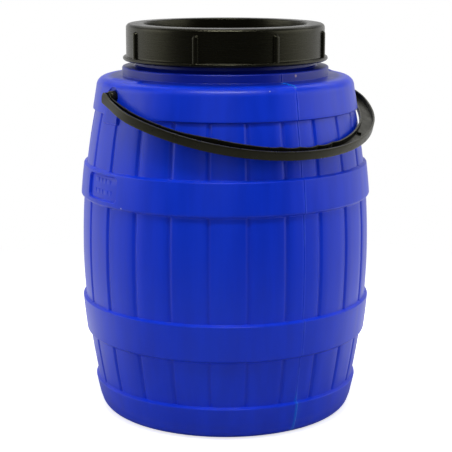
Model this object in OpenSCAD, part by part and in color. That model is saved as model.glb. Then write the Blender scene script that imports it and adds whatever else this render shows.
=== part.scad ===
// Barrel-shaped 30 litre screw-lid drum with a swinging bail handle.
// Millimetres. Origin at the centre of the standing plane, +Z up, handle pivots on the X axis,
// handle hanging towards -Y.

/* [Barrel] */
// Radius of the stave surface at the widest level
belly_r = 165.4; // [150:0.5:180]
// Height of the widest level above the floor
belly_z = 193; // [180:1:205]
// Radius of the arc that the stave surface follows from base to shoulder
belly_arc_r = 769; // [740:1:900]
// Wall thickness of the moulded shell
wall = 2.4; // [1.8:0.1:3]
// Number of staves round the barrel
stave_count = 24; // [12:1:24]
// Width of the groove between two staves, as an angle
groove_deg = 3.2; // [1.5:0.1:5]
// Depth of the groove between two staves
groove_depth = 1.9; // [0.8:0.1:2.2]
// Height by which the hoops stand out of the staves
hoop_proud = 3.7; // [3.6:0.1:5]
// Turn of the stave pattern away from the parting line's axis
seam_turn = -2.7; // [-5:0.1:5]

/* [Neck and thread] */
// Outer radius of the neck that the lid screws on to
neck_r = 102.5; // [101.5:0.1:103]
// Radius of the clear mouth inside the neck
mouth_r = 98; // [97.5:0.1:99]
// Rise of the thread in one turn
thread_pitch = 8; // [7:0.5:10]
// Length of the neck's thread in turns
thread_turns = 1.25; // [1:0.25:1.5]

/* [Lid] */
// Outer radius of the lid's skirt
lid_r = 113; // [112.5:0.1:114]
// Height of the lid's rim above the floor
lid_top_z = 447; // [446:0.5:449]
// Depth of the recess in the middle of the lid
lid_recess = 26; // [10:1:40]
// Number of grip ribs round the lid
grip_count = 8; // [4:1:16]

/* [Handle] */
// Height of the handle's pivot axis above the floor
pivot_z = 371.5; // [371:0.5:372]
// Angle by which the resting handle hangs below the horizontal
droop_deg = 17.7; // [16:0.1:17.8]
// Half the outside width of the handle's bow
bail_half_w = 168; // [167:0.5:169]
// Reach of the handle's outside from the pivot axis
bail_reach = 178; // [176:0.5:181]
// Height of the handle's outer wall
bail_h = 10.3; // [9.5:0.1:11.5]
// Radius of the trunnions at the handle's ends
trunnion_r = 7; // [5:0.1:8]
// Radial play of a trunnion in its lug
trunnion_play = 0.05; // [0.02:0.01:0.09]

/* [Hidden] */
blue = [0.04, 0.12, 0.68];
black = [0.13, 0.13, 0.11];
grey = [0.55, 0.55, 0.53];
$fn = 96;

// Levels of the hoops and bands
foot_r = 131.5;
foot_corner_r = 16;
base_push_up = 4;
bottom_hoop = [foot_corner_r, 40];
lower_hoop = [94.5, 141];
upper_hoop = [254, 297.5];
band = [352, 377];
band_foot_r = 151.6;
band_top_r = 147.3;
shoulder_z = 388;
shoulder_r = 136.3;
hoop_corner = 2;
arc_steps = 6;

// Collar and neck levels
collar_r = 117.8;
collar_top_z = 399;
collar_corner = 3;
neck_foot_z = 400;
lip_z = 440.5;
lip_round = 1.2;
throat_r = 113;
throat_z = 394;

// Thread sections
thread_depth = 4.5;
thread_root_h = 4.4;
thread_crest_h = 2.2;
thread_first_z = 412;
thread_gap = 0.5;
thread_steps = 48;
thread_sink = 1.2;

// Lid
skirt_wall = 3;
skirt_foot_z = 406;
lip_flange_r = 116.8;
lip_flange_h = 4.6;
lid_corner_r = 4.5;
lid_plate = 3.5;
recess_r = 93;
recess_wall = 3;
rim_round = 2;
lid_thread_depth = 6;
grip_w = 7.2;
grip_proud = 3;
grip_top_z = 440;
grip_turn = -95.1;

// Gasket
gasket_in_r = 97.6;
gasket_out_r = 103.6;
gasket_clear = 0.12;

// Lugs
lug_deg = 11.5;
lug_foot_z = 342;
lug_proud_r = 153.2;
lug_corner = 2;
pocket_r = 11;
pocket_floor_x = 145.4;
bore_end_x = 136;
boss_r = 11.5;
boss_end_x = 132;

// Label panel on the upper hoop
label_deg = 21;
label_h = 30;
label_depth = 3.2;
label_back = 2.2;

// Handle section
bail_outer_power = 2.07;
bail_inner_power = 1.93;
bail_inner_half_w = 155;
bail_inner_reach = 165.5;
bail_tuck_len = 60;
bail_outer_tuck = 7.5;
bail_inner_tuck = 3.6;
bail_flange = 2;
bail_lip = 1.5;
bail_deck = [-3.4, -1.5];
bail_rim = [-3.8, 1.6];
bail_rim_front = 6.2;
bail_rise_y = -90;
bail_skirt = [-0.57 * bail_h, 0.43 * bail_h];
bail_end_d = 13;
bail_steps = 72;
scallop_pitch = 22.5;
scallop_depth = 2.2;
scallop_fade = 65;
trunnion_end_x = 137;

// Radius of the smooth stave surface at a level
function stave_r(z) = belly_r - belly_arc_r + sqrt(belly_arc_r * belly_arc_r - pow(z - belly_z, 2));

// Points on the stave surface between two levels, moved out by a distance
function stave_line(z0, z1, out, steps) =
    [for (i = [0:steps]) let (z = z0 + (z1 - z0) * i / steps) [stave_r(z) + out, z]];

// Points on an arc, angles counted from the outward horizontal
function arc_line(r, z, radius, a0, a1, steps) =
    [for (i = [0:steps]) let (a = a0 + (a1 - a0) * i / steps) [r + radius * cos(a), z + radius * sin(a)]];

// Outline of a hoop with its two broken corners
function hoop_line(levels, out, steps) = concat(
    [[stave_r(levels[0]) + out - hoop_corner, levels[0]]],
    stave_line(levels[0] + hoop_corner, levels[1] - hoop_corner, out, steps),
    [[stave_r(levels[1]) + out - hoop_corner, levels[1]]]
);

// Outside of the shell from the base's centre up to the mouth
function outer_line() = concat(
    [[0, base_push_up], [foot_r - 20, base_push_up], [foot_r - 13, 0]],
    arc_line(foot_r, foot_corner_r, foot_corner_r, -90, -8, arc_steps),
    stave_line(foot_corner_r, bottom_hoop[1] - hoop_corner, hoop_proud, 3),
    [[stave_r(bottom_hoop[1]) + hoop_proud - hoop_corner, bottom_hoop[1]]],
    stave_line(bottom_hoop[1] + 1, lower_hoop[0] - 0.5, 0, 5),
    hoop_line(lower_hoop, hoop_proud, 5),
    stave_line(lower_hoop[1] + 0.5, upper_hoop[0] - 0.5, 0, 8),
    hoop_line(upper_hoop, hoop_proud, 5),
    stave_line(upper_hoop[1] + 0.5, band[0] - 0.5, 0, 5),
    [[band_foot_r - 1.5, band[0]], [band_foot_r, band[0] + 1.5], [band_top_r, band[1]]],
    arc_line(shoulder_r, band[1], shoulder_z - band[1], 15, 90, arc_steps),
    [[collar_r, shoulder_z + 1.5]],
    arc_line(collar_r - collar_corner, collar_top_z - collar_corner, collar_corner, 0, 90, 4),
    [[neck_r + 2, collar_top_z], [neck_r, neck_foot_z + 1.5], [neck_r, lip_z - lip_round]],
    [[neck_r - lip_round, lip_z], [mouth_r + lip_round, lip_z], [mouth_r, lip_z - lip_round]]
);

// Inside of the shell from the mouth down to the base's centre
stave_in = -(wall + groove_depth);
hoop_in = hoop_proud - wall;
function cavity_hoop(levels) = stave_line(levels[1] - 3, levels[0] + 3, hoop_in, 4);
function inner_line() = concat(
    [[mouth_r, throat_z + 8], [throat_r, throat_z], [throat_r, shoulder_z - wall]],
    [[shoulder_r, shoulder_z - wall]],
    [[shoulder_r + 6, band[1] + 2], [band_top_r - wall - 0.6, band[1] - 4]],
    [[band_foot_r - wall - 1.6, band[0] + 4]],
    stave_line(band[0] - 1, upper_hoop[1] + 1, stave_in, 4),
    cavity_hoop(upper_hoop),
    stave_line(upper_hoop[0] - 1, lower_hoop[1] + 1, stave_in, 6),
    cavity_hoop(lower_hoop),
    stave_line(lower_hoop[0] - 1, bottom_hoop[1] + 1, stave_in, 4),
    stave_line(bottom_hoop[1] - 3, foot_corner_r + 2, hoop_in - 0.5, 2),
    arc_line(foot_r, foot_corner_r, foot_corner_r - wall - 0.4, -5, -90, arc_steps),
    [[foot_r - 12, wall + 0.4], [foot_r - 19, base_push_up + wall], [0, base_push_up + wall]]
);

// Strip that cuts one row of grooves between two levels
function groove_strip(z0, z1, steps) = concat(
    stave_line(z0, z1, -groove_depth, steps),
    stave_line(z1, z0, 0.8, steps)
);

module groove_row(z0, z1, steps) {
    for (k = [0:stave_count - 1])
        rotate([0, 0, 360 / stave_count * (k + 0.5) + seam_turn - groove_deg / 2])
            rotate_extrude(angle = groove_deg)
                polygon(groove_strip(z0, z1, steps));
}

// Thread ridge from a root cylinder to a crest, fading out at both ends
function ridge_fade(i, n) = min(1, 0.12 + min(i, n - i) / 5);
function ridge_points(root, crest, z0, n) = [
    for (i = [0:n])
        let (a = 360 * i / thread_steps, z = z0 + thread_pitch * i / thread_steps)
        let (c = root + (crest - root) * ridge_fade(i, n))
        for (p = [[root, -thread_root_h], [c, -thread_crest_h], [c, thread_crest_h], [root, thread_root_h]])
            [p[0] * cos(a), p[0] * sin(a), z + p[1] / 2]
];
function ridge_sides(n, inward) = [
    for (i = [0:n - 1], j = [0:3])
        let (a = 4 * i + j, b = 4 * i + (j + 1) % 4)
        inward ? [a, a + 4, b + 4, b] : [a, b, b + 4, a + 4]
];
module thread_ridge(root, crest, z0, turns) {
    n = round(turns * thread_steps);
    inward = crest < root;
    first = inward ? [0, 1, 2, 3] : [3, 2, 1, 0];
    last = inward ? [4 * n + 3, 4 * n + 2, 4 * n + 1, 4 * n] : [4 * n, 4 * n + 1, 4 * n + 2, 4 * n + 3];
    polyhedron(
        points = ridge_points(root, crest, z0, n),
        faces = concat([first], ridge_sides(n, inward), [last]),
        convexity = 8
    );
}

// Cylinder along X from x0 to x1, on the pivot axis
module pivot_rod(r, x0, x1) {
    translate([x0, 0, pivot_z])
        rotate([0, 90, 0])
            cylinder(r = r, h = x1 - x0);
}

// Thickened foot of the band under a pivot, before mirroring
module lug_foot() {
    rotate([0, 0, -lug_deg / 2])
        rotate_extrude(angle = lug_deg)
            polygon([
                [stave_r(lug_foot_z) - wall, lug_foot_z],
                [lug_proud_r - lug_corner, lug_foot_z],
                [lug_proud_r, lug_foot_z + lug_corner],
                [band_foot_r - 0.6, band[0] + 4],
                [stave_r(lug_foot_z) - wall, band[0] + 4]
            ]);
}

module lug_boss() {
    pivot_rod(boss_r, boss_end_x, pocket_floor_x + 1.5);
}

module lug_bore() {
    pivot_rod(trunnion_r + trunnion_play, bore_end_x, belly_r);
    pivot_rod(pocket_r, pocket_floor_x, belly_r);
}

module both_sides() {
    children();
    mirror([1, 0, 0]) children();
}

label_z = (upper_hoop[0] + upper_hoop[1] - label_h) / 2;

// Wall behind the recessed panel, standing in from the hoop
module label_backing() {
    rotate([0, 0, 180 - label_deg / 2 - 2])
        rotate_extrude(angle = label_deg + 4)
            polygon(concat(
                stave_line(label_z - 4, label_z + label_h + 4, -label_back, 4),
                stave_line(label_z + label_h + 4, label_z - 4, 2, 4)
            ));
}

module label_panel() {
    rotate([0, 0, 180 - label_deg / 2])
        rotate_extrude(angle = label_deg)
            polygon(concat(
                stave_line(label_z, label_z + label_h, hoop_proud - label_depth, 4),
                stave_line(label_z + label_h, label_z, hoop_proud + 2, 1)
            ));
}

module barrel_body() {
    color(blue)
        difference() {
            union() {
                rotate_extrude() polygon(concat(outer_line(), inner_line()));
                both_sides() lug_foot();
                both_sides() lug_boss();
                label_backing();
                thread_ridge(
                    neck_r - thread_sink, neck_r + thread_depth, thread_first_z, thread_turns
                );
            }
            groove_row(bottom_hoop[1] + 1.5, lower_hoop[0] - 1, 5);
            groove_row(lower_hoop[1] + 1, upper_hoop[0] - 1, 8);
            difference() {
                groove_row(upper_hoop[1] + 1, band[0] - 1, 5);
                both_sides() lug_foot();
            }
            both_sides() lug_bore();
            label_panel();
        }
}

// Lid
plate_z = lid_top_z - lid_plate;
floor_z = lid_top_z - lid_recess;
plug_r = recess_r + recess_wall;
skirt_in_r = lid_r - skirt_wall;
bead_r = lip_flange_h / 2;

module lid_shell() {
    rotate_extrude()
        polygon(concat(
            [[0, floor_z - recess_wall], [plug_r - 3, floor_z - recess_wall], [plug_r, floor_z]],
            [[plug_r, plate_z], [skirt_in_r, plate_z], [skirt_in_r, skirt_foot_z]],
            arc_line(lip_flange_r - bead_r, skirt_foot_z + bead_r, bead_r, -90, 90, arc_steps),
            [[lid_r, skirt_foot_z + lip_flange_h + 0.4]],
            arc_line(lid_r - lid_corner_r - 0.4, lid_top_z - lid_corner_r, lid_corner_r, 0, 90, arc_steps),
            arc_line(recess_r + rim_round, lid_top_z - rim_round, rim_round, 90, 180, 3),
            [[recess_r - 0.5, floor_z + 3], [recess_r - 3.5, floor_z], [0, floor_z]]
        ));
}

module grip_rib() {
    reach = lid_r + grip_proud - skirt_in_r - 1.5;
    foot_z = skirt_foot_z + 1;
    arch_z = grip_top_z - grip_w / 2;
    translate([skirt_in_r + 1.5, -grip_w / 2, foot_z])
        cube([reach, grip_w, arch_z - foot_z]);
    translate([skirt_in_r + 1.5, 0, arch_z])
        rotate([0, 90, 0])
            cylinder(d = grip_w, h = reach);
}

module screw_lid() {
    lid_thread_z = thread_first_z - (thread_root_h + thread_crest_h) / 2 - thread_gap;
    color(black)
        union() {
            lid_shell();
            for (k = [0:grip_count - 1])
                rotate([0, 0, grip_turn + 360 / grip_count * k])
                    grip_rib();
            thread_ridge(
                skirt_in_r + thread_sink, skirt_in_r - lid_thread_depth, lid_thread_z, thread_turns
            );
        }
}

module lid_gasket() {
    low = lip_z + gasket_clear;
    high = plate_z - gasket_clear;
    color(grey)
        rotate_extrude()
            polygon([
                [gasket_in_r, low + 0.5], [gasket_in_r + 0.5, low],
                [gasket_out_r - 0.5, low], [gasket_out_r, low + 0.5],
                [gasket_out_r, high - 0.5], [gasket_out_r - 0.5, high],
                [gasket_in_r + 0.5, high], [gasket_in_r, high - 0.5]
            ]);
}

// Handle outline: a superellipse from the pivot on +X round the grip to the pivot on -X, with the
// last stretch of each limb tucked inwards
function ease(t) = let (u = min(1, max(0, t))) u * u * (3 - 2 * u);
function tuck(y, most) = most * ease(1 - abs(y) / bail_tuck_len);
function bail_point(w, reach, power, a, most) =
    let (x = w * pow(abs(cos(a)), 2 / power), y = -reach * pow(abs(sin(a)), 2 / power))
    [sign(cos(a)) * (x - tuck(y, most)), y];

// Distance by which the finger scallops lie outside the line of their cusps, fading out along the limbs
function scallop(x) =
    let (u = abs(x) / scallop_pitch + 0.5, f = u - floor(u))
    let (past = (abs(x) - 2 * scallop_pitch) / scallop_fade)
    scallop_depth * (u < 2.5 ? 1 - pow(2 * f - 1, 2) : ease(1 - past));

function bail_outer(inset) = [
    for (i = [0:bail_steps])
        let (a = 180 * i / bail_steps)
        bail_point(bail_half_w - inset, bail_reach - inset, bail_outer_power, a, bail_outer_tuck)
];
function bail_inner(out) = [
    for (i = [2 * bail_steps:-1:0])
        let (a = 90 * i / bail_steps, w = bail_inner_half_w + out, reach = bail_inner_reach + out)
        let (p = bail_point(w, reach, bail_inner_power, a, bail_inner_tuck))
        [p[0], p[1] - scallop(p[0])]
];

// The same outlines, run back the other way
function turned(line) = [for (i = [len(line) - 1:-1:0]) line[i]];

module bail_plate(outline, levels) {
    translate([0, 0, levels[0]])
        linear_extrude(height = levels[1] - levels[0])
            polygon(outline);
}

// Wedge that the rim's raised part at the grip stays under
module bail_rim_slope() {
    rise = bail_rim_front - bail_rim[1];
    run = bail_inner_reach - scallop_depth + bail_rise_y;
    translate([0, bail_rise_y, bail_rim[1]])
        rotate([-atan2(rise, run), 0, 0])
            translate([-bail_half_w, -bail_reach, -bail_h])
                cube([2 * bail_half_w, bail_reach, bail_h]);
}

module bail_end() {
    inside_x = bail_inner_half_w - bail_inner_tuck;
    outside_x = bail_half_w - bail_outer_tuck;
    translate([inside_x, 0, 0])
        rotate([0, 90, 0])
            cylinder(d = bail_end_d, h = outside_x - inside_x);
    translate([trunnion_end_x, 0, 0])
        rotate([0, 90, 0])
            cylinder(r = trunnion_r, h = inside_x + 1 - trunnion_end_x);
}

module bail_handle() {
    color(black)
        translate([0, 0, pivot_z])
            rotate([droop_deg, 0, 0])
                union() {
                    bail_plate(concat(bail_outer(0), bail_inner(0)), bail_deck);
                    bail_plate(concat(bail_outer(0), turned(bail_outer(bail_flange))), bail_skirt);
                    bail_plate(concat(bail_inner(0), turned(bail_inner(bail_lip))), bail_rim);
                    intersection() {
                        bail_plate(concat(bail_inner(0), turned(bail_inner(bail_lip))),
                            [bail_rim[1] - 0.5, bail_rim_front]);
                        bail_rim_slope();
                    }
                    both_sides() bail_end();
                }
}

barrel_body();
lid_gasket();
screw_lid();
bail_handle();
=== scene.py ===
"""Looks of the 30 litre barrel-shaped drum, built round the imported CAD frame.

Millimetres and degrees in the numbers below, metres in the meshes. +Z is up, the handle's two pivots
lie along X and the resting handle hangs towards -Y.
"""

import math

import bpy
import numpy as np
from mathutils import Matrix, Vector


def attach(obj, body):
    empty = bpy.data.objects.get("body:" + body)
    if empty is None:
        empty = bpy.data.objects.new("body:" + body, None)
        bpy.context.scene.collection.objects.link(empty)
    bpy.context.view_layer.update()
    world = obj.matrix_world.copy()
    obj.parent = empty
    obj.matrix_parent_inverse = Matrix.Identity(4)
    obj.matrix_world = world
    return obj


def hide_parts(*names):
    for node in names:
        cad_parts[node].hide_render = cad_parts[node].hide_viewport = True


MM = 0.001

# Barrel: the staves follow an arc in section, and the hoops stand out of them
BELLY_R, BELLY_Z, BELLY_ARC = 165.4, 193.0, 769.0
HOOP = 3.7
HOOP_FEET = ((92.6, 95.2), (252.0, 254.8))
HOOP_TOPS = (38.0, 134.8, 290.2)
LEDGE = 1.6
STAVE_IN, HOOP_IN = -4.3, 1.3
FOOT_R, FOOT_ROUND = 131.5, 16.0
BAND_R, BAND_Z = 151.6, 352.0
NECK_R, NECK_TOP = 102.5, 440.5
STAVES = 24
SEAM_TURN = -2.7
GROOVE_HALF_DEG, GROOVE_DEPTH, GROOVE_RUNOUT = 1.35, 1.6, 1.6
# Pivots: pocket, blind bore and inside boss, and the piece of the shell's grid that they replace
PIVOT_Z = 371.5
POCKET_R, POCKET_X = 11.0, 145.4
BORE_R, BORE_X = 7.05, 136.0
BOSS_R, BOSS_X = 11.5, 132.0
PATCH_DEG, PATCH_Z = 5.5, (357.6, 386.4)
LUG_HALF_DEG, LUG_Z, LUG_R, LUG_ROUND = 5.75, 342.0, 153.2, 1.9
# Recessed panel: half width and half height, level, depth, corner and the hoop's radius there
LABEL_HALF = (30.6, 14.3)
LABEL_Z, LABEL_DEPTH, LABEL_CORNER, LABEL_R = 273.3, 3.2, 6.0, 166.5
# Bars on the panel: level, height and widths of each row
LABEL_ROWS = ((6.0, 8.5, (7, 5, 5, 9)), (-6.0, 7.5, (4, 8, 4, 6, 5)))
BAR_GAP, BAR_PROUD, BAR_CORNER = 2.4, 0.95, 1.1
THREAD_PITCH, THREAD_TURNS = 8, 1.25

# Lid
LID_R = 113.0
RIBS, RIB_TURN, RIB_HALF, RIB_PROUD, RIB_TOP = 8, -95.1, 3.6, 3.0, 440.0

# Handle: half width, reach and power of the outer and inner curves, and how the limbs tuck in
DROOP = 17.7
BAIL_OUT = (168.0, 178.0, 2.07)
BAIL_IN = (155.0, 165.5, 1.93)
TUCK_LENGTH, TUCK_OUT, TUCK_IN = 60.0, 7.5, 3.6
# Section: width of the outer wall's top and of the rim, then levels from the plane of the pivots
BAIL_FLANGE, BAIL_LIP, BAIL_END_H, BAIL_END_ROUND = 2.2, 2.2, 12.5, 0.3
BAIL_FACE, BAIL_DECK, BAIL_RIM_FOOT = (-5.9, 4.4), (-3.4, -1.5), -3.8
BAIL_RIM_TOP, RIM_RISE_Y = (1.6, 6.2), (-90.0, -155.0)
SECTION_CORNERS = 13
SCALLOP_PITCH, SCALLOP_DEPTH, SCALLOP_FADE, SCALLOP_STEP = 22.5, 2.2, 65.0, 0.95
TRUNNION_R, TRUNNION_X = 7.0, 137.0
TICK_AT = (55.0, 0.66)

# Camera: azimuth, distance, height, pitch, lens on a 36 mm sensor, sideways shift
CAM_AZ, CAM_DIST, CAM_Z, CAM_PITCH, CAM_LENS, CAM_SHIFT = -33.8, 1590.0, 542.0, 11.76, 110.4, 0.0015

# Studio as reflections see it: brightness low and high on the walls, at the top, at the back and of
# the floor at the sides, and where the walls fade towards the camera
TENT_LOW, TENT_HIGH, TENT_TOP, TENT_BACK, FLOOR_SIDE = 0.8, 0.22, 0.16, 0.9, 0.72
TENT_SPAN, TENT_DARK = (-0.3, 0.8), 0.06
# The floor as the camera sees it: paper and its own glow
FLOOR_HALF, FLOOR_PAPER, FLOOR_GLOW = 6.0, 0.5, 0.72

# name, azimuth from the camera, elevation, distance m, size m, watts, seen in reflections
LIGHTS = (
    ("strip", 0, 66, 1.8, (1.0, 0.16), 11, True),
    ("left_soft", -88, 22, 1.9, (1.4, 1.1), 5, True),
    ("right_soft", 86, 22, 1.9, (1.9, 1.1), 6, True),
    ("low_fill", -8, 14, 2.2, (1.2, 0.9), 3.5, False),
    ("high_fill", -8, 52, 2.2, (2.4, 1.5), 7, False),
)

# Torn flash where the parting line leaves the collar, a painted highlight standing for a small nub's glint,
# and two scratches:
# turn from the parting line, radius, level, spread, colour, thresholds of the noise that breaks it up
SCARS_AND_NUB_GLINT = (
    (0.2, 124.0, 389.2, 4.8, (0.0, 0.20, 0.92, 1), (0.36, 0.50)),
    (-1.6, 125.5, 389.0, 4.2, (0.0, 0.17, 0.88, 1), (0.42, 0.56)),
    (0.2, 132.0, 388.4, 4.5, (0.0, 0.22, 0.95, 1), (0.36, 0.48)),
    (0.3, 138.0, 387.9, 3.5, (0.0, 0.22, 0.95, 1), (0.36, 0.48)),
    (0.3, 142.5, 386.5, 2.5, (0.0, 0.20, 0.92, 1), (0.38, 0.48)),
    # painted highlight: pale pink spot standing in for the glint on a small nub on the collar
    (9.2, 117.9, 395.5, 2.2, (0.42, 0.30, 0.42, 1), (0.10, 0.20)),
    (-12.3, 145.3, 384.0, 1.2, (0.55, 0.60, 0.95, 1), (0.28, 0.42)),
    (-73.7, 166.0, 255.6, 1.4, (0.50, 0.55, 0.90, 1), (0.22, 0.36)),
)

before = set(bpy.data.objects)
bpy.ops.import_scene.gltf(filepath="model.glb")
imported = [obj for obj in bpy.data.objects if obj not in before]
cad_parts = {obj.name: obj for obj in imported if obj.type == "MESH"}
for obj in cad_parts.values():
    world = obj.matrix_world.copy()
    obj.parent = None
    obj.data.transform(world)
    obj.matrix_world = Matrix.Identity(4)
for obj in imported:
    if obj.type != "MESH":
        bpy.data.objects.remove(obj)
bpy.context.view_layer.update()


# ---------------------------------------------------------------- shapes

def smooth(x):
    """Soft step from 0 to 1."""
    x = np.clip(x, 0.0, 1.0)
    return x * x * (3.0 - 2.0 * x)


def stave_r(z):
    """Radius of the stave surface at a level."""
    return BELLY_R - BELLY_ARC + np.sqrt(BELLY_ARC**2 - (np.asarray(z, float) - BELLY_Z) ** 2)


def arc(r, z, radius, a0, a1, steps):
    """Points (r, z, 0) on an arc, angles from the outward horizontal."""
    turns = np.radians(np.linspace(a0, a1, steps + 1))
    return [(r + radius * math.cos(a), z + radius * math.sin(a), 0) for a in turns]


def stave_line(z0, z1, out, steps):
    """Points (r, z, 0) that follow the stave surface at a distance."""
    return [(float(stave_r(z)) + out, z, 0) for z in np.linspace(z0, z1, steps + 1)]


def rounded(points, steps=4):
    """An (r, z, radius) line with its corners rounded, as an array of (r, z)."""
    out = []
    for i, (r, z, radius) in enumerate(points):
        if not radius:
            out.append((r, z))
            continue
        p = np.array((r, z))
        a = np.array(points[i - 1][:2]) - p
        b = np.array(points[i + 1][:2]) - p
        la, lb = np.linalg.norm(a), np.linalg.norm(b)
        half = math.acos(np.clip(a @ b / (la * lb), -1, 1)) / 2
        share = 0.6 if radius > 1.5 else 0.38
        d = min(radius / math.tan(half), la * share, lb * share)
        pa, pb = p + a / la * d, p + b / lb * d
        for t in np.linspace(0, 1, steps + 1):
            out.append(tuple((1 - t) ** 2 * pa + 2 * t * (1 - t) * p + t * t * pb))
    return np.array(out)


def near(values, gap):
    """Sorted values without any that lie closer than gap to the one before."""
    kept = []
    for v in sorted(values):
        if not kept or v - kept[-1] > gap:
            kept.append(v)
    return kept


def revolve(profile, degrees, reshape):
    """Surface of revolution whose profile starts and ends on the axis, as (points, grid).

    reshape moves the ring points, given as arrays r, a, z."""
    turns = np.radians(np.array(degrees))
    rows, cols = len(profile) - 2, len(turns)
    r = np.repeat(profile[1:-1, 0][:, None], cols, 1)
    z = np.repeat(profile[1:-1, 1][:, None], cols, 1)
    a = np.repeat(turns[None, :], rows, 0)
    r, a, z = reshape(r, a, z)
    ring = np.stack([r * np.cos(a), r * np.sin(a), z], -1).reshape(-1, 3)
    poles = np.array([(0, 0, profile[0, 1]), (0, 0, profile[-1, 1])])
    points = np.vstack([ring, poles])
    grid = np.arange(rows * cols).reshape(rows, cols)
    return points, grid


def grid_faces(grid, holes=()):
    """Faces of a revolved grid, left out inside holes (row0, row1, set of columns)."""
    rows, cols = grid.shape
    faces = []
    for j in range(rows - 1):
        for i in range(cols):
            if any(j0 <= j < j1 and i in span for j0, j1, span in holes):
                continue
            k = (i + 1) % cols
            faces.append((grid[j, i], grid[j, k], grid[j + 1, k], grid[j + 1, i]))
    first, last = rows * cols, rows * cols + 1
    for i in range(cols):
        k = (i + 1) % cols
        faces.append((first, grid[0, k], grid[0, i]))
        faces.append((last, grid[-1, i], grid[-1, k]))
    return faces


class Shell:
    """Points and faces gathered into one mesh, with named per-point values."""

    def __init__(self):
        self.points, self.faces, self.marks = [], [], {}

    def add(self, points, faces):
        base = len(self.points)
        self.points.extend(map(tuple, points))
        self.faces.extend(tuple(int(i) + base for i in f) for f in faces)
        return base

    def tube(self, rings):
        """Closed tube through rings of equal length, ends capped."""
        rings = np.array(rings, float)
        n, m = rings.shape[:2]
        faces = []
        for j in range(n - 1):
            for i in range(m):
                k = (i + 1) % m
                faces.append((j * m + i, j * m + k, (j + 1) * m + k, (j + 1) * m + i))
        faces.append(tuple(range(m - 1, -1, -1)))
        faces.append(tuple(range((n - 1) * m, n * m)))
        return self.add(rings.reshape(-1, 3), faces)

    def build(self, name, sharp_deg, body, node, material):
        """Makes the piece, on its body and in the place of its CAD node."""
        mesh = bpy.data.meshes.new(name)
        mesh.from_pydata([tuple(c * MM for c in p) for p in self.points], [], self.faces)
        mesh.validate()
        mesh.update()
        mesh.shade_smooth()
        mesh.set_sharp_from_angle(angle=math.radians(sharp_deg))
        for mark, values in self.marks.items():
            layer = mesh.attributes.new(mark, "FLOAT", "POINT")
            full = np.zeros(len(mesh.vertices), np.float32)
            full[: len(values)] = values
            layer.data.foreach_set("value", full)
        obj = bpy.data.objects.new(name, mesh)
        bpy.context.scene.collection.objects.link(obj)
        mesh.materials.append(material)
        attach(obj, body)
        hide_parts(node)


def helix(root, crest, z0, foot_h, crest_h):
    """Rings of a screw thread's section with rounded crest, fading out at both ends."""
    per_turn = 72
    steps = int(THREAD_TURNS * per_turn)
    inward = crest < root
    rings = []
    for i in range(steps + 1):
        a = 2 * math.pi * i / per_turn
        z = z0 + THREAD_PITCH * i / per_turn
        fade = min(1.0, 0.1 + min(i, steps - i) / 7)
        c = root + (crest - root) * fade
        m = c + (root - c) * 0.16
        section = [(root, -foot_h / 2), (m, -crest_h / 2 - 0.25), (c, -crest_h / 2 + 0.35),
                   (c, crest_h / 2 - 0.35), (m, crest_h / 2 + 0.25), (root, foot_h / 2)]
        if not inward:
            section = section[::-1]
        rings.append([(r * math.cos(a), r * math.sin(a), z + h) for r, h in section])
    return rings


# ---------------------------------------------------------------- barrel

def ledge(z):
    """Upper edge of a hoop: a rounded corner and a sloping ledge back to the staves."""
    return [(float(stave_r(z)) + HOOP, z, 1.1), (float(stave_r(z + LEDGE)), z + LEDGE, 0.8)]


def hoop_foot(z0, z1):
    """Lower edge of a hoop, sloping out from the staves."""
    return [(float(stave_r(z0)), z0, 1.6), (float(stave_r(z1)) + HOOP, z1, 2.3)]


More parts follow.
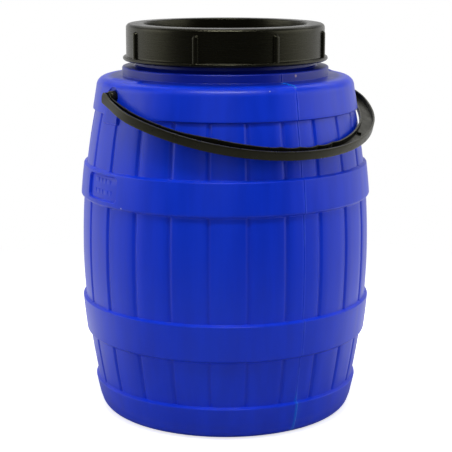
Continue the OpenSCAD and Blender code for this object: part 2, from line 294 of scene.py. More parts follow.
def barrel_profile():
    """Outside and inside lines of the shell, each from the base's centre."""
    label_rows = np.concatenate([
        np.linspace(-1, 1, 9) * 1.6 + LABEL_Z - LABEL_HALF[1] + 1,
        np.linspace(-1, 1, 9) * 1.6 + LABEL_Z + LABEL_HALF[1] - 1,
        np.linspace(LABEL_Z - LABEL_HALF[1] + 4, LABEL_Z + LABEL_HALF[1] - 4, 16),
    ])
    # base with its standing ring, then the hoops and the staves between them
    outer = [(0, 4, 0), (40, 4, 0), (80, 4, 0), (111.5, 4, 2), (118.5, 0, 1.4)]
    outer += arc(FOOT_R, FOOT_ROUND, FOOT_ROUND, -90, -6, 9) + stave_line(16.5, 34, HOOP, 4)
    outer += ledge(HOOP_TOPS[0]) + stave_line(42, 90.5, 0, 9)
    outer += hoop_foot(*HOOP_FEET[0]) + stave_line(99, 132, HOOP, 7)
    outer += ledge(HOOP_TOPS[1]) + stave_line(139, 249.8, 0, 15)
    outer += hoop_foot(*HOOP_FEET[1])
    outer += [(float(stave_r(z)) + HOOP, z, 0) for z in near(label_rows, 0.25)]
    outer += ledge(HOOP_TOPS[2]) + stave_line(294.5, 339, 0, 8) + stave_line(341, 349.5, 0, 12)
    # shoulder band, shoulder, collar, neck
    outer += [(float(stave_r(351.6)), 351.6, 0.9), (BAND_R, BAND_Z, 1.5)]
    outer += [(BAND_R - 4.3 * (z - BAND_Z) / 25, z, 0) for z in np.linspace(355.2, 376, 10)]
    outer += arc(136.3, 377, 11, 12, 90, 12)
    outer += [(134, 388.1, 0), (130, 388.5, 0), (127, 388.8, 0), (117.8, 389.4, 0.8), (117.8, 399, 1.8)]
    outer += [(105, 399.2, 0.8), (NECK_R, 401.5, 0.8), (NECK_R, 410, 0), (NECK_R, 425, 0)]
    outer += [(NECK_R, NECK_TOP, 1.3), (98, NECK_TOP, 1.3)]
    # inside from the neck down to the base
    inner = [(98, 402, 1.5), (113, 394, 1.5), (113, 385.8, 0), (125, 385.6, 0), (136.3, 385.6, 2)]
    inner += [(142.3, 379.5, 0), (144.0, 376.5, 0)]
    inner += [(144.2 + 0.17 * (374 - z), z, 0) for z in np.linspace(374, 356, 10)]
    inner += stave_line(350, 293, STAVE_IN, 4) + stave_line(286, 258, HOOP_IN, 3)
    inner += stave_line(252, 137.5, STAVE_IN, 6) + stave_line(131, 98, HOOP_IN, 3)
    inner += stave_line(93, 41, STAVE_IN, 4) + stave_line(34.5, 18, 0.8, 1)
    inner += arc(FOOT_R, FOOT_ROUND, 13.2, -8, -90, 5)
    inner += [(119, 2.9, 0), (112.5, 6.4, 0), (60, 6.4, 0), (0, 6.4, 0)]
    outside = rounded(outer + [(98, 420, 0)])[:-1]
    inside = rounded([(98, 430, 0)] + inner)[1:]
    return outside, inside


def barrel_columns():
    """Angles of the barrel's columns in degrees, dense where the surface changes."""
    out = []
    for k in range(STAVES):
        mid = 360 / STAVES * (k + 0.5) + SEAM_TURN
        out += [mid + d for d in (-1.4, -1.05, -0.75, -0.48, -0.22, 0, 0.22, 0.48, 0.75, 1.05, 1.4)]
        out += [mid + d for d in (-4.4, 4.4)]
        out += [mid + 7.5]
    for seam in (SEAM_TURN + 90, SEAM_TURN - 90):
        out += [seam + d for d in (-1.2, -0.85, -0.6, -0.4, -0.25, -0.12, 0.12, 0.25, 0.45, 0.9)]
    for side in (0, 180):
        out += [side + s * (LUG_HALF_DEG + d) for s in (-1, 1) for d in (-0.3, 0.0, 0.25)]
        out += [side + d for d in np.linspace(-PATCH_DEG, PATCH_DEG, 14)]
        out += [side + s * d for s in (-1, 1) for d in (8.5, 11.5, 13.5)]
    edge = math.degrees(LABEL_HALF[0] / LABEL_R)
    for s in (-1, 1):
        out += [180 + s * (edge + d) for d in (-2.6, -2.1, -1.6, -1.2, -0.9, -0.6, -0.3, 0, 0.25, 0.6)]
        out += [180 + s * d for d in (1.6, 3.2, 6.6, 7.4)]
    return near([d % 360 for d in out], 0.07)


def angle_gap(a, centre_deg):
    """Signed angle from a centre, in degrees."""
    return (np.degrees(a) - centre_deg + 180) % 360 - 180


def groove_shape(gap_deg):
    """Depth share of the nearest groove."""
    u = np.clip(gap_deg / GROOVE_HALF_DEG, -1, 1)
    return np.cos(u * math.pi / 2) ** 1.8


def stave_gap(a):
    """Signed angle from the nearest groove, in degrees."""
    pitch = 360 / STAVES
    return (np.degrees(a) - SEAM_TURN) % pitch - pitch / 2


def off_hoops(r, z):
    """1 on the staves, 0 on the hoops, with a short run-out."""
    return np.clip(1 - (r - stave_r(np.clip(z, 0, 360))) / GROOVE_RUNOUT, 0, 1)


def ripple(a, z):
    """Slow unevenness of a blow-moulded wall, mm."""
    return (0.10 * np.sin(3 * a + 1.3 + z / 75) + 0.07 * np.sin(5 * a - 0.6 - z / 48)
            + 0.05 * np.sin(9 * a + 2.1 + z / 27) + 0.03 * np.sin(17 * a + z / 13))


def lug_feet(r, a, z, out):
    """Radius with the flat feet under the pivots."""
    for side in (0, 180):
        gap = np.abs(angle_gap(a, side))
        rise = np.clip((z - LUG_Z) / LUG_ROUND, 0, 1)
        face = LUG_R - LUG_ROUND + LUG_ROUND * np.sqrt(1 - (1 - rise) ** 2)
        face = face - 0.165 * np.clip(z - LUG_Z - 2, 0, 12)
        on = smooth((LUG_HALF_DEG + 0.28 - gap) / 0.56) * out * (z > LUG_Z - 0.1) * (z < BAND_Z + 2)
        r = r + on * np.maximum(face - r, 0)
    return r


def panel_depth(a, z):
    """Depth of the recessed panel on the upper hoop."""
    u = np.abs(np.radians(angle_gap(a, 180)) * LABEL_R) - (LABEL_HALF[0] - LABEL_CORNER)
    v = np.abs(z - LABEL_Z) - (LABEL_HALF[1] - LABEL_CORNER)
    inside = LABEL_CORNER - np.hypot(np.maximum(u, 0), np.maximum(v, 0))
    inside = np.where((u < 0) & (v < 0), LABEL_CORNER + np.minimum(-u, -v), inside)
    return LABEL_DEPTH * smooth(inside / 2.0) * (np.abs(z - LABEL_Z) < 20)


def parting_line(r, a, z, out, base_r):
    """Fine raised flash, stronger at the base, with a small step in the hoops' upper edges."""
    for seam in (SEAM_TURN - 90, SEAM_TURN + 90):
        s = np.radians(angle_gap(a, seam)) * base_r
        rough = 0.8 + 0.25 * np.sin(z / 2.3 + seam) * np.sin(z / 5.1 + 1) + 0.15 * np.sin(z * 1.7)
        torn = 1.5 * smooth((z - 7) / 5) * smooth((56 - z) / 22) * (0.8 + 0.2 * np.sin(z / 3.1))
        width = 0.5 + 0.35 * smooth((50 - z) / 20)
        ridge = (0.34 * rough + torn) * np.exp(-((s / width) ** 2))
        ridge = ridge - 0.28 * np.exp(-(((s + 1.15) / 0.55) ** 2))
        up = smooth((z - 379) / 8) * smooth((base_r - 118.5) / 2)
        keep = out * (base_r > 103.5) * (z > 3)
        r = r + ridge * keep * (1 - up)
        z = z + ridge * keep * up
        slip = 0.55 * smooth(s / 0.9 + 0.5) * np.exp(-np.abs(s) / 34) * out
        near_tops = [np.exp(-(((z - top) / 5) ** 2)) for top in HOOP_TOPS[:2]]
        z = z + slip * (near_tops[0] + 0.6 * near_tops[1])
    return r, z


def shoulder_pads(a, z, out, base_r):
    """Rise of the low pads on the shoulder above the pivots."""
    rise = np.zeros_like(z)
    for side in (0, 180):
        gap = np.abs(angle_gap(a, side))
        pad = smooth((13.5 - gap) / 3) * smooth((base_r - 118.2) / 2.5) * smooth((137.5 - base_r) / 3)
        rise = rise + 1.5 * pad * out * (z > 386)
    return rise


def bore_bosses(r, a, z, out):
    """Radius with the bosses round the bores, on the inside."""
    for side in (0, 180):
        g = np.radians(angle_gap(a, side))
        reach = np.hypot(r * np.sin(g), z - PIVOT_Z)
        pull = smooth((BOSS_R + 3 - reach) / 3) * ~out * (np.abs(g) < 0.3)
        r = r + pull * np.minimum(BOSS_X - r * np.cos(g), 0) / np.cos(g)
    return r


def reshape_barrel(outside_rows):
    """Function that gives the round shell its grooves, lugs, panel, parting line, pads and bosses."""
    def reshape(r, a, z):
        out = np.zeros_like(r, bool)
        out[:outside_rows] = True
        base_r = r.copy()
        staves = out & (z > HOOP_TOPS[0] + LEDGE) & (z < BAND_Z - 1)
        r = r - GROOVE_DEPTH * off_hoops(r, z) * staves * groove_shape(stave_gap(a))
        r = r + ripple(a, z) * smooth((z - 20) / 30) * smooth((BAND_Z - z) / 12) * out
        r = lug_feet(r, a, z, out)
        r = r - panel_depth(a, z) * out
        r, z = parting_line(r, a, z, out, base_r)
        z = z + shoulder_pads(a, z, out, base_r)
        return bore_bosses(r, a, z, out), a, z
    return reshape


def pivot_patch(shell, points, grid, outside, degrees, side):
    """Cuts the round pocket and bore of one lug into the barrel's grid."""
    gaps = (np.array(degrees) - side + 180) % 360 - 180
    order = [i for i in np.argsort(gaps) if abs(gaps[i]) <= PATCH_DEG + 0.01]
    z_rows = outside[1:, 1]
    level = [j for j in range(len(outside) - 1)
             if PATCH_Z[0] <= z_rows[j] <= PATCH_Z[1] and outside[j + 1, 0] > 138]
    j0, j1 = level[0], level[-1]
    loop = [grid[j0, i] for i in order[:-1]]
    loop += [grid[j, order[-1]] for j in range(j0, j1)]
    loop += [grid[j1, i] for i in order[:0:-1]]
    loop += [grid[j, order[0]] for j in range(j1, j0, -1)]
    turn = math.radians(side)
    spin = np.array([[math.cos(turn), math.sin(turn)], [-math.sin(turn), math.cos(turn)]])
    flat = points[loop]
    uz = np.stack([(flat[:, :2] @ spin.T)[:, 1], flat[:, 2]], 1)
    phi = np.arctan2(uz[:, 1] - PIVOT_Z, uz[:, 0])
    rim = outside[j0 + 1 - 3: j1 + 1 + 3]

    def circle(radius):
        return np.stack([radius * np.cos(phi), PIVOT_Z + radius * np.sin(phi)], 1)

    def skin(p):
        r = np.interp(p[:, 1], rim[:, 1], rim[:, 0])
        return np.sqrt(np.maximum(r**2 - p[:, 0] ** 2, 1))

    edge = circle(POCKET_R + 0.55)
    rings = [(p, skin(p)) for p in (uz + (edge - uz) * t for t in (0.34, 0.67, 1.0))]
    wall = circle(POCKET_R)
    top = skin(wall)
    depth = top - POCKET_X
    rings.append((circle(POCKET_R + 0.15), skin(circle(POCKET_R + 0.15)) - 0.1))
    rings.append((wall, top - np.minimum(0.35, depth * 0.4)))
    rings.append((circle(POCKET_R - 0.05), POCKET_X + np.minimum(0.4, depth * 0.3)))
    for radius, x in ((POCKET_R - 0.5, POCKET_X), (BORE_R + 0.4, POCKET_X),
                      (BORE_R + 0.05, POCKET_X - 0.3), (BORE_R, BORE_X + 0.5), (BORE_R - 0.5, BORE_X)):
        rings.append((circle(radius), np.full(len(phi), x)))
    last, count = loop, len(loop)
    for p, x in rings:
        local = np.stack([x, p[:, 0]], 1) @ spin
        fresh = shell.add(np.column_stack([local, p[:, 1]]), [])
        ring = [fresh + k for k in range(count)]
        for k in range(count):
            m = (k + 1) % count
            shell.faces.append((int(last[k]), int(last[m]), ring[m], ring[k]))
        last = ring
    centre = shell.add([(BORE_X * math.cos(turn), BORE_X * math.sin(turn), PIVOT_Z)], [])
    for k in range(count):
        shell.faces.append((last[k], last[(k + 1) % count], centre))
    return j0, j1, set(order[:-1])


def bar_rings(width, height, proud, corner):
    """Rounded bar as rings of (across, up, out) from foot to top."""
    turns = np.linspace(0, 2 * math.pi, 24, endpoint=False)
    sx, sy = np.sign(np.cos(turns)), np.sign(np.sin(turns))
    rings = []
    for inset, out in ((0, -1.0), (0, proud - 0.3), (0.12, proud - 0.1), (0.35, proud)):
        rc = max(corner - inset, 0.1)
        x = sx * (width / 2 - corner) + rc * np.cos(turns)
        y = sy * (height / 2 - corner) + rc * np.sin(turns)
        rings.append(np.column_stack([x, y, np.full(24, out)]))
    return rings


def add_label_bars(shell):
    """Plain raised bars on the recessed panel, in two rows."""
    radius = float(stave_r(LABEL_Z)) + HOOP - LABEL_DEPTH
    for level, height, widths in LABEL_ROWS:
        z = LABEL_Z + level
        skin = float(stave_r(z)) + HOOP - LABEL_DEPTH
        at = -(sum(widths) + BAR_GAP * (len(widths) - 1)) / 2
        for w in widths:
            rings = []
            for ring in bar_rings(w, height, BAR_PROUD, BAR_CORNER):
                turn = math.pi - (at + w / 2 + ring[:, 0]) / radius
                out = skin + ring[:, 2]
                rings.append(np.column_stack([out * np.cos(turn), out * np.sin(turn), z + ring[:, 1]]))
            shell.tube(rings)
            at += w + BAR_GAP


def add_pinch_line(shell):
    """Ridge that the closing mould leaves across the base."""
    turn = math.radians(SEAM_TURN + 90)
    along = np.array((math.cos(turn), math.sin(turn)))
    across = np.array((-along[1], along[0]))
    rings = []
    for t in np.linspace(-1, 1, 41):
        half = 2.2 * math.sqrt(max(1 - t**4, 0.02)) + 0.15 * math.sin(17 * t)
        drop = (1.0 + 0.2 * math.sin(23 * t)) * math.sqrt(max(1 - t**6, 0.02))
        section = ((-half, 1.0), (-half, -0.1), (-half * 0.6, -drop), (0, -drop * 1.1),
                   (half * 0.6, -drop), (half, -0.1), (half, 1.0))
        rings.append([(*(along * 82 * t + across * s), 4 + h) for s, h in section])
    shell.tube(rings)


def barrel_marks(p):
    """Share of flash and of painted groove shade at the points p, for the material."""
    a, r, z = np.arctan2(p[:, 1], p[:, 0]), np.hypot(p[:, 0], p[:, 1]), p[:, 2]
    flash = np.zeros(len(p))
    for seam in (SEAM_TURN - 90, SEAM_TURN + 90):
        s = np.radians(angle_gap(a, seam)) * r
        wide = 0.8 + 0.9 * smooth((62 - z) / 25)
        flash = np.maximum(flash, np.exp(-((s / wide) ** 2)) * (z > 3))
    # painted shade: share of darkening in the grooves, for the material
    groove = groove_shape(stave_gap(a)) ** 2 * off_hoops(r, z) * (z > HOOP_TOPS[0] + 1) * (z < BAND_Z)
    return {"flash": flash, "groove": groove}


def build_barrel(material):
    """The blow-moulded shell with its pivots, thread, panel bars and pinch line."""
    outside, inside = barrel_profile()
    profile = np.vstack([outside, inside])
    degrees = barrel_columns()
    points, grid = revolve(profile, degrees, reshape_barrel(len(outside) - 1))
    shell = Shell()
    shell.add(points, [])
    holes = [pivot_patch(shell, points, grid, outside, degrees, side) for side in (0, 180)]
    shell.faces.extend(tuple(map(int, f)) for f in grid_faces(grid, holes))
    body_points = len(shell.points)
    shell.tube(helix(101.3, 107.0, 412, 4.6, 2.2))
    add_label_bars(shell)
    add_pinch_line(shell)
    shell.marks = barrel_marks(np.array(shell.points)[:body_points])
    shell.build("barrel_shell", 42, "barrel", "barrel_body", material)


# ---------------------------------------------------------------- lid and seal

def build_lid(material):
    """The screw lid: recessed top, skirt with grip ribs, bottom lip and thread."""
    # underside of the recess, channel for the neck's rim, inside of the skirt
    line = [(0, 418, 0), (50, 418, 0), (93, 418, 1.5), (96, 421, 1.5), (96, 432, 0), (96, 443.5, 1.2)]
    line += [(110, 443.5, 1.2), (110, 430, 0), (110, 412, 0), (110, 406, 0.8)]
    # bottom lip, outside of the skirt, rounded top, recess
    line += arc(114.5, 408.3, 2.3, -90, 80, 10) + [(113.15, 410.9, 0), (LID_R, 411.4, 0)]
    line += [(LID_R, z, 0) for z in np.linspace(412.5, 432, 10)]
    line += [(LID_R, z, 0) for z in np.linspace(433, 441.5, 15)]
    line += arc(108.5, 442.5, 4.5, 4, 90, 8) + [(102, 447.1, 0), (93, 447.1, 2.2)]
    line += [(92.7, 436, 0), (92.4, 428, 0), (91.6, 421, 3.2), (70, 421, 0), (30, 420.8, 0), (0, 420.8, 0)]
    profile = rounded(line)
    degrees = []
    for k in range(RIBS):
        mid = RIB_TURN + 360 / RIBS * k
        flank = (0.35, 0.7, 1.05, 1.35, 1.57, 1.72, 1.82, 1.92, 2.3)
        degrees += [mid + s * d for s in (-1, 1) for d in flank]
        degrees += [mid] + list(mid + np.linspace(4.5, 40.5, 13))
    degrees = near([d % 360 for d in degrees], 0.05)

    def reshape(r, a, z):
        gap = (np.degrees(a) - RIB_TURN + 180 / RIBS) % (360 / RIBS) - 180 / RIBS
        s = np.radians(gap) * LID_R
        over = np.maximum(z - (RIB_TOP - RIB_HALF), 0)
        d = np.clip(np.hypot(s, over) / RIB_HALF, 0, 1)
        high = RIB_PROUD * (1 - d**2.6) ** (1 / 2.6)
        skirt = (z > 407) & (z < 441.6) & (r > 112.5)
        r = np.where(skirt, np.maximum(r, LID_R + high), r)
        r = r + 0.04 * np.sin(4 * a + 0.7) * (r > 105)
        return r, a, z

    points, grid = revolve(profile, degrees, reshape)
    shell = Shell()
    shell.add(points, grid_faces(grid))
    shell.tube(helix(111.2, 104.2, 408.2, 4.4, 2.0))
    shell.build("lid_shell", 42, "lid", "screw_lid", material)


def build_gasket(material):
    """The seal ring on the neck's rim, a flat ring with rounded edges."""
    shell = Shell()
    turns = np.radians(np.linspace(0, 360, 180, endpoint=False))
    section = []
    for r, z, a0 in ((103.0, 442.8, 0), (98.2, 442.8, 90), (98.2, 441.2, 180), (103.0, 441.2, 270)):
        for a in np.radians(np.linspace(a0, a0 + 90, 4)):
            section.append((r + 0.55 * math.cos(a), z + 0.55 * math.sin(a)))
    m = len(section)
    points = [(r * math.cos(t), r * math.sin(t), z) for t in turns for r, z in section]
    faces = []
    for j in range(len(turns)):
        n = (j + 1) % len(turns)
        for i in range(m):
            k = (i + 1) % m
            faces.append((j * m + i, n * m + i, n * m + k, j * m + k))
    shell.add(points, faces)
    shell.build("seal_ring", 60, "seal", "lid_gasket", material)


# ---------------------------------------------------------------- handle

def bail_line(shape, tuck, a):
    """Point (x, y) of a rounded-square curve whose limbs tuck in towards the pivots."""
    half_w, reach, power = shape
    x = half_w * abs(math.cos(a)) ** (2 / power)
    y = -reach * abs(math.sin(a)) ** (2 / power)
    u = max(0.0, 1 - abs(y) / TUCK_LENGTH)
    return math.copysign(x - tuck * u * u * (3 - 2 * u), math.cos(a)), y


def scallop(x):
    """Depth of the finger scallops under the grip, fading out along the limbs."""
    u = abs(x) / SCALLOP_PITCH + 0.5
    f = u - math.floor(u)
    past = float(smooth(1 - (abs(x) - 2 * SCALLOP_PITCH) / SCALLOP_FADE))
    return SCALLOP_DEPTH * (1 - (2 * f - 1) ** 2 if u < 2.5 else past)


def bail_section(width, rim_top, low, high, solid):
    """Section as (across from outside in, up): a tall outer wall, a low deck and a thin inner rim."""
    f, t = BAIL_FLANGE, width - BAIL_LIP

    def full(v, end):
        return min(max(v + (end - v) * solid, low), high)

    d0, d1, r0, r1 = (full(v, e) for v, e in ((BAIL_DECK[0], low + 0.3), (BAIL_DECK[1], high - 0.3),
                                              (BAIL_RIM_FOOT, low), (rim_top, high)))
    belly = low + (high - low) * 0.45
    corner = [(0.1, low, 0.9), (0, belly, 2.2), (0, high, 0.7), (f, high, 0.5), (f, d1, 0.7), (t, d1, 0.6),
              (t, r1, 0.4), (width, r1, 0.4), (width, r0, 0.4), (t, r0, 0.35), (t, d0, 0.4), (f, d0, 0.4),
              (f, low, 0.5)]
    out = []
    for i, (u, v, c) in enumerate(corner):
        p = np.array((u, v))
        a, b = [np.array(q[:2]) - p for q in (corner[i - 1], corner[(i + 1) % len(corner)])]
        la, lb = max(np.linalg.norm(a), 1e-9), max(np.linalg.norm(b), 1e-9)
        pa, pb = p + a / la * min(c, la * 0.45), p + b / lb * min(c, lb * 0.45)
        out += [tuple(pa), tuple(0.25 * pa + 0.5 * p + 0.25 * pb), tuple(pb)]
    return out


def bail_place(x, y, v):
    """Point of the handle's plane, v above it, with the handle drooping at rest."""
    tilt = math.radians(DROOP)
    return (x, y * math.cos(tilt) - v * math.sin(tilt), PIVOT_Z + y * math.sin(tilt) + v * math.cos(tilt))


def bail_stations():
    """Angles of the sections, dense where the scallops are."""
    coarse = [math.radians(d) for d in np.linspace(0, 180, 121)]
    fine = []
    for i in range(-60, 61):
        x = i * SCALLOP_STEP
        share = min(1.0, abs(x) / BAIL_IN[0])
        fine.append(math.acos(math.copysign(share ** (BAIL_IN[2] / 2), x)))
    keep = [a for a in coarse if not min(fine) - 0.01 < a < max(fine) + 0.01]
    return sorted(keep + fine)


def bail_ring(po, pi, low, high, solid):
    """Section between the outer point po and the inner point pi; solid closes the channel."""
    rise = float(smooth((pi[1] - RIM_RISE_Y[0]) / (RIM_RISE_Y[1] - RIM_RISE_Y[0])))
    rim_top = BAIL_RIM_TOP[0] + (BAIL_RIM_TOP[1] - BAIL_RIM_TOP[0]) * rise
    width = math.dist(po, pi)
    ring = []
    for u, v in bail_section(width, rim_top, low, high, solid):
        t = u / width
        ring.append(bail_place(po[0] + (pi[0] - po[0]) * t, po[1] + (pi[1] - po[1]) * t, v))
    return ring


def bail_end(turn):
    """Rings of the rounded end behind the pivot, from its tip."""
    po, pi = bail_line(BAIL_OUT, TUCK_OUT, turn), bail_line(BAIL_IN, TUCK_IN, turn)
    half = BAIL_END_H / 2
    rings = []
    for t in (0.985, 0.93, 0.82, 0.66, 0.45, 0.22):
        back, high = t * half * BAIL_END_ROUND, half * math.sqrt(1 - t * t) + 0.01
        rings.append(bail_ring((po[0], back), (pi[0], back), -high, high, 1.0))
    return rings


def bail_rings():
    """All sections of the handle from one end to the other."""
    rings = bail_end(0)
    for a in bail_stations():
        po, pi = bail_line(BAIL_OUT, TUCK_OUT, a), bail_line(BAIL_IN, TUCK_IN, a)
        pi = (pi[0], pi[1] - scallop(pi[0]))
        swell = float(1 - smooth((abs(po[1]) - 1) / 16))
        low, high = [e + (math.copysign(BAIL_END_H / 2, e) - e) * swell for e in BAIL_FACE]
        rings.append(bail_ring(po, pi, low, high, float(1 - smooth((abs(po[1]) - 3) / 3))))
    return rings + bail_end(math.pi)[::-1]


def bail_marks(count):
    """Painted highlights along the top edges of the outer wall and the rim, and painted shade in the
    channel between them.
    """
    edge, channel_shade = np.zeros(3 * SECTION_CORNERS), np.zeros(3 * SECTION_CORNERS)
    # painted highlight along the outer wall's and the rim's top edges
    for outer_corner in (2, 6):
        edge[3 * outer_corner + 1: 3 * outer_corner + 5] = 1
    # painted shade on the deck of the channel
    channel_shade[3 * 4: 3 * 6] = 1
    return {"edge": np.tile(edge, count), "channel_shade": np.tile(channel_shade, count)}


def add_trunnions(shell):
    """The two stub shafts that turn in the barrel's bores."""
    inside_x = BAIL_IN[0] - TUCK_IN
    turns = np.linspace(0, 2 * math.pi, 40, endpoint=False)
    for s in (1, -1):
        tube = []
        for x, r in ((TRUNNION_X, TRUNNION_R - 1.2), (TRUNNION_X + 0.35, TRUNNION_R - 0.4),
                     (TRUNNION_X + 1.1, TRUNNION_R), (inside_x - 1.0, TRUNNION_R),
                     (inside_x + 0.2, TRUNNION_R - 0.15), (inside_x + 0.9, TRUNNION_R - 1.0)):
            tube.append([bail_place(s * x, r * math.cos(t) * s, r * math.sin(t)) for t in turns])
        shell.tube(tube)


def add_tick(shell):
    """Small moulding tick in the channel by the right limb's bend."""
    a = math.radians(TICK_AT[0])
    po, pi = [np.array(bail_line(shape, 0, a)) for shape in (BAIL_OUT, BAIL_IN)]
    way = (pi - po) / np.linalg.norm(pi - po)
    side = np.array([-way[1], way[0]])
    mid = po + (pi - po) * TICK_AT[1]
    tick = []
    for v, g in ((BAIL_DECK[1] - 0.4, 1.0), (BAIL_DECK[1] + 1.6, 1.0), (BAIL_DECK[1] + 2.2, 0.7)):
        tick.append([bail_place(*(mid + way * du * g + side * ds * g), v)
                     for du, ds in ((-2.4, -0.8), (2.4, -0.8), (2.4, 0.8), (-2.4, 0.8))])
    shell.tube(tick)


def build_handle(material):
    """The bail handle with its two trunnions, drooping at rest."""
    rings = bail_rings()
    shell = Shell()
    shell.tube(rings)
    shell.marks = bail_marks(len(rings))
    add_trunnions(shell)
    add_tick(shell)
    shell.build("handle_bail", 46, "handle", "bail_handle", material)


# ---------------------------------------------------------------- materials

class Nodes:
    """Short way to add and join shader nodes."""

    def __init__(self, tree):
        self.tree = tree
        tree.nodes.clear()

    def add(self, kind, inputs=None, **settings):
        node = self.tree.nodes.new("ShaderNode" + kind)
        for key, value in settings.items():
            setattr(node, key, value)
        for key, value in (inputs or {}).items():
            socket = node.inputs[key]
            if isinstance(value, bpy.types.NodeSocket):
                self.tree.links.new(value, socket)
            else:
                socket.default_value = value
        return node

    def math(self, operation, a, b=0.0, c=0.0):
        return self.add("Math", {0: a, 1: b, 2: c}, operation=operation).outputs[0]

    def ramp(self, value, low, high, to_low=0.0, to_high=1.0):
        return self.add("MapRange", {"Value": value, "From Min": low, "From Max": high, "To Min": to_low,
                                     "To Max": to_high}, interpolation_type="SMOOTHSTEP").outputs[0]

    def noise(self, where, stretch, scale, detail=3.0, rough=0.5):
        at = self.add("Mapping", {"Vector": where, "Scale": stretch}).outputs[0]
        return self.add("TexNoise", {"Vector": at, "Scale": scale, "Detail": detail,
                                     "Roughness": rough}).outputs[0]

    def mix(self, share, a, b):
        node = self.add("Mix", {0: share}, data_type="RGBA")
        for socket, value in ((node.inputs[6], a), (node.inputs[7], b)):
            if isinstance(value, bpy.types.NodeSocket):
                self.tree.links.new(value, socket)
            else:
                socket.default_value = value
        return node.outputs[2]


def facing_camera(n, way):
    """1 towards the camera's side, -1 away from it."""
    a = math.radians(CAM_AZ)
    inputs = {0: way, 1: (math.sin(a), -math.cos(a), 0)}
    return n.add("VectorMath", inputs, operation="DOT_PRODUCT").outputs["Value"]


def new_material(name):
    """Empty node material, its Nodes and its object coordinates."""
    material = bpy.data.materials.new(name)
    material.use_nodes = True
    nodes = Nodes(material.node_tree)
    where = nodes.add("TexCoord").outputs["Object"]
    return material, nodes, where


def finish_material(nodes, **inputs):
    """Joins the inputs to a principled surface; underscores stand for spaces in their names."""
    bsdf = nodes.add("BsdfPrincipled", inputs={k.replace("_", " "): v for k, v in inputs.items()})
    nodes.add("OutputMaterial", {"Surface": bsdf.outputs[0]})


def barrel_material():
    """Blue plastic with flow clouds, painted shade in the grooves and in the gutter under the lid, torn
    flash, small scars and a painted highlight for a nub.
    """
    material, n, where = new_material("blue_hdpe")
    flow = n.noise(where, (1, 1, 0.12), 60, 4)
    cloud = n.noise(where, (1, 1, 0.6), 14, 3)
    speck = n.noise(where, (1, 1, 1), 900, 2)
    colour = n.mix(n.ramp(flow, 0.3, 0.7), (0.0004, 0.040, 0.82, 1), (0.0006, 0.047, 0.92, 1))
    colour = n.mix(n.ramp(cloud, 0.35, 0.75, 0.0, 0.35), colour, (0.001, 0.058, 0.97, 1))
    # painted shade: the grooves' colour darkened as if shaded in the crease
    groove = n.add("Attribute", attribute_name="groove").outputs["Fac"]
    colour = n.mix(n.math("MULTIPLY", groove, 0.25), colour, (0.0003, 0.022, 0.52, 1))
    flash = n.add("Attribute", attribute_name="flash").outputs["Fac"]
    patchy = n.ramp(n.noise(where, (1, 1, 0.35), 160, 4), 0.42, 0.62)
    torn = n.math("MULTIPLY", flash, patchy)
    colour = n.mix(n.math("MULTIPLY", torn, 0.45), colour, (0.05, 0.14, 0.95, 1))
    at = n.add("SeparateXYZ", {0: where}).outputs
    low = n.math("MULTIPLY", flash, n.ramp(at[2], 0.062, 0.030))
    colour = n.mix(n.math("MULTIPLY", low, 0.9), colour, (0.002, 0.20, 1.0, 1))
    # painted shade: the collar's colour darkened in the gutter under the lid, where the lid's overhang
    # shades it
    flat = n.add("CombineXYZ", {0: at[0], 1: at[1]}).outputs[0]
    reach = n.add("VectorMath", {0: flat}, operation="LENGTH").outputs["Value"]
    gutter_shade = n.math("MULTIPLY", n.ramp(reach, 0.1375, 0.1270), n.ramp(at[2], 0.3870, 0.3885))
    colour = n.mix(n.math("MULTIPLY", gutter_shade, 0.92), colour, (0.0006, 0.012, 0.30, 1))
    # flash and scars, and the painted highlight that stands for the nub's glint
    for turn, r, z, spread, tone, keep in SCARS_AND_NUB_GLINT:
        a = math.radians(SEAM_TURN - 90 + turn)
        spot = (r * math.cos(a) * MM, r * math.sin(a) * MM, z * MM)
        gap = n.add("VectorMath", {0: where, 1: spot}, operation="DISTANCE").outputs["Value"]
        round_it = n.ramp(gap, 0.0, spread * MM, 1.6, 0.0)
        rough_it = n.ramp(n.noise(where, (1, 1, 1), 380, 5, 0.7), *keep)
        share = n.math("MINIMUM", n.math("MULTIPLY", round_it, rough_it), 1.0)
        colour = n.mix(share, colour, tone)
    rough = n.math("ADD", n.ramp(flow, 0.3, 0.7, 0.29, 0.35), n.math("MULTIPLY", speck, 0.04))
    waves = n.noise(where, (1, 1, 0.5), 75, 3)
    bump = n.add("Bump", {"Strength": 0.10, "Distance": 0.0006, "Height": waves})
    fine = n.add("Bump", {"Strength": 0.05, "Distance": 0.0002, "Height": speck, "Normal": bump.outputs[0]})
    finish_material(n, Base_Color=colour, Roughness=rough, Normal=fine.outputs[0], Specular_IOR_Level=0.44)
    return material


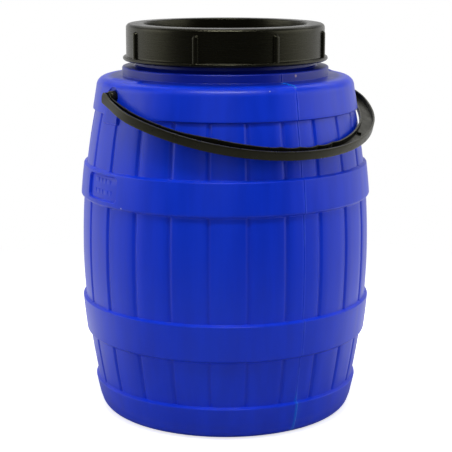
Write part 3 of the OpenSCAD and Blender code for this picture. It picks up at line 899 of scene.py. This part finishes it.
def black_material(name, tint, low, high, stretch, scale, strength):
    """Black plastic: low and high bound its roughness, stretch and scale shape its moulding lines."""
    material, n, where = new_material(name)
    lines = n.noise(where, stretch, scale, 4, 0.6)
    cloud = n.noise(where, (1, 1, 1), 22, 3)
    colour = n.mix(n.ramp(cloud, 0.3, 0.7), (*tint, 1), (*[c * 1.35 for c in tint], 1))
    # painted shade: the channel's deck darkened towards black
    channel_shade = n.add("Attribute", attribute_name="channel_shade").outputs["Fac"]
    colour = n.mix(n.math("MULTIPLY", channel_shade, 0.8), colour, (0.0012, 0.0011, 0.0008, 1))
    # painted highlight: the top edges lightened as if catching the light, broken up by noise
    edge = n.add("Attribute", attribute_name="edge").outputs["Fac"]
    edge_glint = n.ramp(n.noise(where, (1, 1, 1), 45, 4, 0.6), 0.30, 0.62, 0.35, 0.9)
    colour = n.mix(n.math("MULTIPLY", edge, edge_glint), colour, (0.062, 0.060, 0.046, 1))
    rough = n.ramp(lines, 0.3, 0.7, low, high)
    speck = n.noise(where, (1, 1, 1), 700, 2)
    bump = n.add("Bump", {"Strength": strength, "Distance": 0.0004, "Height": lines})
    fine = n.add("Bump", {"Strength": 0.08, "Distance": 0.0002, "Height": speck, "Normal": bump.outputs[0]})
    finish_material(n, Base_Color=colour, Roughness=rough, Normal=fine.outputs[0], Specular_IOR_Level=0.46,
                    Specular_Tint=(1.0, 0.97, 0.64, 1))
    return material


def rubber_material():
    """Grey rubber of the seal ring."""
    material, n, where = new_material("grey_rubber")
    cloud = n.noise(where, (1, 1, 1), 90, 4)
    colour = n.mix(n.ramp(cloud, 0.3, 0.7), (0.40, 0.40, 0.38, 1), (0.48, 0.48, 0.46, 1))
    bump = n.add("Bump", {"Strength": 0.2, "Distance": 0.0003, "Height": n.noise(where, (1, 1, 1), 800, 3)})
    finish_material(n, Base_Color=colour, Roughness=0.75, Normal=bump.outputs[0])
    return material


# ---------------------------------------------------------------- stage

def build_stage():
    """Pale floor, bright in the camera's view and darker towards the camera in reflections."""
    floor_mesh = bpy.data.meshes.new("floor")
    corners = [(x * FLOOR_HALF, y * FLOOR_HALF, 0) for x, y in ((-1, -1), (1, -1), (1, 1), (-1, 1))]
    floor_mesh.from_pydata(corners, [], [(0, 1, 2, 3)])
    floor = bpy.data.objects.new("floor", floor_mesh)
    bpy.context.scene.collection.objects.link(floor)
    material, n, where = new_material("pale_floor")
    grain = n.noise(where, (1, 1, 1), 3, 2)
    colour = n.mix(grain, (0.93, 0.93, 0.93, 1), (0.97, 0.97, 0.97, 1))
    reach = n.add("VectorMath", {0: where}, operation="LENGTH").outputs["Value"]
    seen = n.add("LightPath").outputs["Is Camera Ray"]
    paper = n.ramp(reach, 0.3, 1.1, FLOOR_PAPER, 0.1)
    colour = n.mix(seen, n.add("CombineColor", {0: paper, 1: paper, 2: paper}).outputs[0], colour)
    paper = n.add("BsdfDiffuse", {"Color": colour}).outputs[0]
    white = n.add("Emission", {"Color": (1, 1, 1, 1), "Strength": 1.0}).outputs[0]
    # the camera sees white paper; reflections see it bright at the sides and dark towards the camera
    way = n.add("VectorMath", {0: where}, operation="NORMALIZE").outputs[0]
    sides = n.ramp(facing_camera(n, way), *TENT_SPAN, FLOOR_SIDE, TENT_DARK * FLOOR_SIDE)
    sides = n.math("MULTIPLY", sides, n.ramp(reach, 0.12, 0.40))
    sides = n.math("MULTIPLY", sides, n.math("SUBTRACT", 1.0, seen))
    glow = n.math("ADD", n.ramp(reach, 0.15, 0.40, 0.0, 0.35), FLOOR_GLOW)
    glow = n.math("ADD", n.math("MULTIPLY", glow, seen), sides)
    lit = n.add("Emission", {"Color": (1, 1, 1, 1), "Strength": glow}).outputs[0]
    near_part = n.add("AddShader", {0: paper, 1: lit}).outputs[0]
    far_share = n.math("MULTIPLY", n.ramp(reach, 0.3, 0.9), seen)
    mixed = n.add("MixShader", {0: far_share, 1: near_part, 2: white}).outputs[0]
    n.add("OutputMaterial", {"Surface": mixed})
    floor_mesh.materials.append(material)


def area_light(name, az, el, dist, size, energy, shiny, target=(0, 0, 0.23)):
    """Soft rectangle of light at an azimuth from the camera's own direction."""
    light = bpy.data.lights.new(name, "AREA")
    light.shape = "RECTANGLE"
    light.size, light.size_y = size
    light.energy = energy
    obj = bpy.data.objects.new(name, light)
    a, e = math.radians(CAM_AZ + az), math.radians(el)
    place = Vector((math.sin(a) * math.cos(e), -math.cos(a) * math.cos(e), math.sin(e))) * dist
    obj.location = place + Vector(target)
    obj.rotation_euler = (-place).to_track_quat("-Z", "Y").to_euler()
    obj.visible_glossy = shiny
    bpy.context.scene.collection.objects.link(obj)


def build_world():
    """White behind the object for the camera, and a soft tent of light for everything else."""
    world = bpy.data.worlds.new("studio")
    bpy.context.scene.world = world
    world.use_nodes = True
    n = Nodes(world.node_tree)
    way = n.add("TexCoord").outputs["Generated"]
    facing = facing_camera(n, way)
    up = n.add("SeparateXYZ", {0: way}).outputs[2]
    side = n.ramp(facing, *TENT_SPAN, 1.0, TENT_DARK)
    top = n.ramp(up, 0.5, 0.9)
    wall = n.math("MULTIPLY", side, n.ramp(up, 0.10, 0.42, TENT_LOW, TENT_HIGH))
    tent = n.math("MULTIPLY", wall, n.math("SUBTRACT", 1.0, top))
    tent = n.math("ADD", tent, n.math("MULTIPLY", top, TENT_TOP))
    # bright panel high at the back
    panel = n.math("MULTIPLY", n.ramp(up, 0.42, 0.55), n.math("SUBTRACT", 1.0, n.ramp(up, 0.76, 0.86)))
    panel = n.math("MULTIPLY", panel, n.ramp(facing, -0.35, -0.6))
    tent = n.math("ADD", tent, n.math("MULTIPLY", panel, TENT_BACK))
    seen = n.add("LightPath").outputs["Is Camera Ray"]
    power = n.math("ADD", n.math("MULTIPLY", tent, n.math("SUBTRACT", 1.0, seen)), seen)
    back = n.add("Background", {"Color": (1, 1, 1, 1), "Strength": power})
    n.add("OutputWorld", {"Surface": back.outputs[0]})


def build_camera():
    """Camera at the angle of the reference view."""
    camera = bpy.data.cameras.new("camera")
    camera.lens, camera.sensor_width = CAM_LENS, 36.0
    camera.shift_x = CAM_SHIFT
    camera.clip_start, camera.clip_end = 0.05, 50
    obj = bpy.data.objects.new("camera", camera)
    a = math.radians(CAM_AZ)
    obj.location = (math.sin(a) * CAM_DIST * MM, -math.cos(a) * CAM_DIST * MM, CAM_Z * MM)
    obj.rotation_euler = (math.radians(90 - CAM_PITCH), 0, a)
    bpy.context.scene.collection.objects.link(obj)
    bpy.context.scene.camera = obj


build_barrel(barrel_material())
build_lid(black_material("black_lid", (0.0016, 0.0015, 0.0009), 0.24, 0.31, (1, 1, 14), 55, 0.25))
build_handle(black_material("black_handle", (0.0075, 0.0072, 0.0050), 0.26, 0.40, (1, 0.25, 1), 140, 0.22))
build_gasket(rubber_material())
build_stage()
build_world()
build_camera()
for settings in LIGHTS:
    area_light(*settings)
scene = bpy.context.scene
scene.view_settings.view_transform = "Standard"
scene.view_settings.look = "None"
